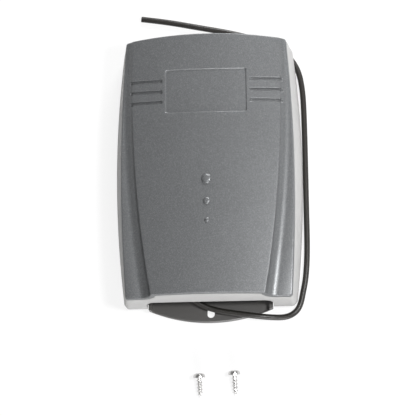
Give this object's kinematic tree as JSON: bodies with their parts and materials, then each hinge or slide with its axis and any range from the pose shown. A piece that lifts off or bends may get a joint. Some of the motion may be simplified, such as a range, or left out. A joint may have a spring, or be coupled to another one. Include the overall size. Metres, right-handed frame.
{
  "type": "radio receiver",
  "caption": "Wall-mounted radio receiver: drafted frame, crowned dark front with hollow flanks, screw-on base with a slotted tab, lift-off cover, inner board and a thin antenna cable.",
  "frame": {"origin": "on the face that lies against the wall, on the housing's centre line, 65 mm above the lower edge of its rear rim", "axes": "+X to the right seen from the front, +Y to the upper end, +Z out of the wall"},
  "size_m": [0.0928, 0.1903, 0.028],
  "materials": {
    "base_plastic": "black, fine moulded texture",
    "frame_plastic": "light warm grey, fine moulded texture",
    "fascia_plastic": "dark grey metallic lacquer, satin",
    "board_laminate": "green solder lacquer, satin",
    "screw_steel": "bright zinc plating",
    "terminal_plastic": "green, satin",
    "terminal_steel": "nickel plating",
    "relay_plastic": "black, smooth",
    "capacitor_sleeve": "dark blue shrink sleeve",
    "diode_plastic": "black",
    "varistor_coat": "blue coating",
    "regulator_plastic": "black, with a tinned metal tab",
    "socket_plastic": "black",
    "chip_plastic": "black, with tinned legs",
    "crystal_can": "nickel plating",
    "transistor_plastic": "black",
    "resistor_body": "black with tinned ends",
    "lamp_lens": "tinted red, diffuse",
    "header_plastic": "black, with gilt pins",
    "jumper_plastic": "blue",
    "switch_plastic": "black",
    "switch_steel": "bright",
    "button_plastic": "black",
    "module_laminate": "blue solder lacquer",
    "pin_metal": "gilt, in a black strip",
    "shield_steel": "tinned",
    "coil_can": "satin",
    "cable_sheath": "black, smooth, half gloss",
    "core_copper": "bare copper strands",
    "fixing_steel": "bright zinc plating"
  },
  "bodies": {
    "base": {"wall_base": "base_plastic", "circuit_board": "board_laminate", "board_screws": "screw_steel", "power_terminal": "terminal_plastic", "antenna_terminal": "terminal_plastic", "output_terminal_1": "terminal_plastic", "output_terminal_2": "terminal_plastic", "relay_1": "relay_plastic", "relay_2": "relay_plastic", "terminal_screws": "terminal_steel", "filter_capacitors": "capacitor_sleeve", "rectifier_diodes": "diode_plastic", "surge_varistor": "varistor_coat", "voltage_regulator": "regulator_plastic", "controller_socket": "socket_plastic", "microcontroller": "chip_plastic", "memory_socket": "socket_plastic", "memory_chip": "chip_plastic", "clock_crystal": "crystal_can", "relay_transistors": "transistor_plastic", "chip_resistors": "resistor_body", "status_leds": "lamp_lens", "mode_header": "header_plastic", "jumper_caps": "jumper_plastic", "learn_switches": "switch_plastic", "learn_switch_covers": "switch_steel", "receiver_module": "module_laminate", "module_pins": "pin_metal", "shield_can": "shield_steel", "tuning_coil": "coil_can", "antenna_cable": "cable_sheath", "antenna_core": "core_copper", "fixing_screws": "fixing_steel"},
    "cover": {"housing_frame": "frame_plastic", "front_fascia": "fascia_plastic"},
    "learn_button_1": {"learn_button_1": "button_plastic"},
    "learn_button_2": {"learn_button_2": "button_plastic"}
  },
  "joints": [
    {"name": "cover_lift", "type": "slide", "parent": "base", "child": "cover", "axis": [0, 0, 1], "range_m": [0, 0.04]},
    {"name": "learn_press_1", "type": "slide", "parent": "base", "child": "learn_button_1", "axis": [0, 0, -1], "range_m": [0, 0.00025], "stiffness_N_per_m": 500},
    {"name": "learn_press_2", "type": "slide", "parent": "base", "child": "learn_button_2", "axis": [0, 0, -1], "range_m": [0, 0.00025], "stiffness_N_per_m": 500}
  ]
}
